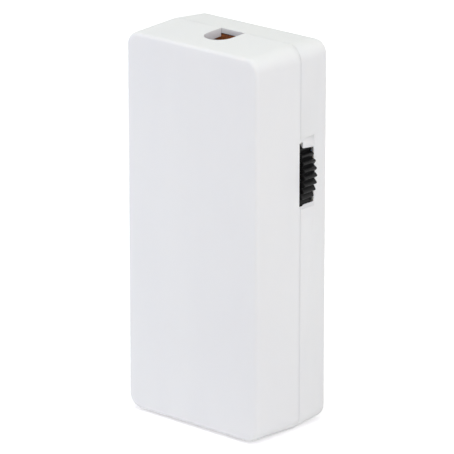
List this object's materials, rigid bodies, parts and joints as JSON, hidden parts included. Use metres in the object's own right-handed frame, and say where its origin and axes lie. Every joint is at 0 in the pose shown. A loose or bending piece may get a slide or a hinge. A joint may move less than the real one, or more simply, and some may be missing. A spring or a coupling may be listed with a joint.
{
  "type": "inline lamp dimmer",
  "caption": "White two-part inline dimmer case with a black ribbed thumbwheel in its side and a port for the lead in each end.",
  "frame": {"origin": "middle of the case's width and depth at its lower end, where the parting ridge stands on a surface", "axes": "+Z along the case from the lower port to the upper one, +Y from the front shell to the back cover, +X to the side that the thumbwheel comes through"},
  "size_m": [0.041, 0.024, 0.09],
  "materials": {
    "case_plastic": "smooth moulded satin",
    "wheel_plastic": "moulded, lightly rubbed",
    "zinc_steel": "zinc plated",
    "nickel_brass": "turned",
    "dark_moulding": "moulded",
    "spring_bronze": "rolled sheet",
    "phenolic": "pressed phenolic paper",
    "tinned_wire": "tinned",
    "carbon_track": "printed carbon",
    "brass": "machined",
    "aluminium": "rolled sheet",
    "tinned_copper": "tinned",
    "iron_powder": "epoxy coated",
    "enamelled_copper": "enamelled wire",
    "capacitor_case": "moulded",
    "resistor_coating": "lacquered",
    "diac_glass": "glass bead",
    "fuse_glass": "clear",
    "nickel_caps": "nickel plated"
  },
  "bodies": {
    "root": {"front_shell": "case_plastic", "back_cover": "case_plastic", "potentiometer_base": "phenolic", "potentiometer_pins": "tinned_wire", "potentiometer_housing": "zinc_steel", "resistive_track": "carbon_track", "bottom_cord_clamp": "phenolic", "top_cord_clamp": "phenolic", "clamp_screws": "zinc_steel", "case_screws": "zinc_steel", "circuit_board": "phenolic", "board_screws": "zinc_steel", "top_terminal_block": "dark_moulding", "bottom_terminal_block": "dark_moulding", "top_terminal_cages": "brass", "bottom_terminal_cages": "brass", "terminal_screws": "zinc_steel", "heat_sink": "aluminium", "triac_body": "dark_moulding", "triac_tab": "tinned_copper", "triac_leads": "tinned_wire", "triac_screw": "zinc_steel", "choke_core": "iron_powder", "choke_winding": "enamelled_copper", "suppression_capacitor": "capacitor_case", "timing_capacitors": "capacitor_case", "resistors": "resistor_coating", "diac": "diac_glass", "component_leads": "tinned_wire", "fuse_tube": "fuse_glass", "fuse_caps": "nickel_caps", "fuse_clips": "spring_bronze"},
    "wheel": {"thumbwheel": "wheel_plastic", "wheel_screw": "zinc_steel", "potentiometer_shaft": "nickel_brass", "wiper_carrier": "dark_moulding", "wiper_spring": "spring_bronze"}
  },
  "joints": [
    {"name": "wheel_turn", "type": "hinge", "parent": "root", "child": "wheel", "pos_m": [0.0085, 0.00462, 0.0596], "axis": [0, 1, 0], "range_deg": [-150, 150]}
  ]
}
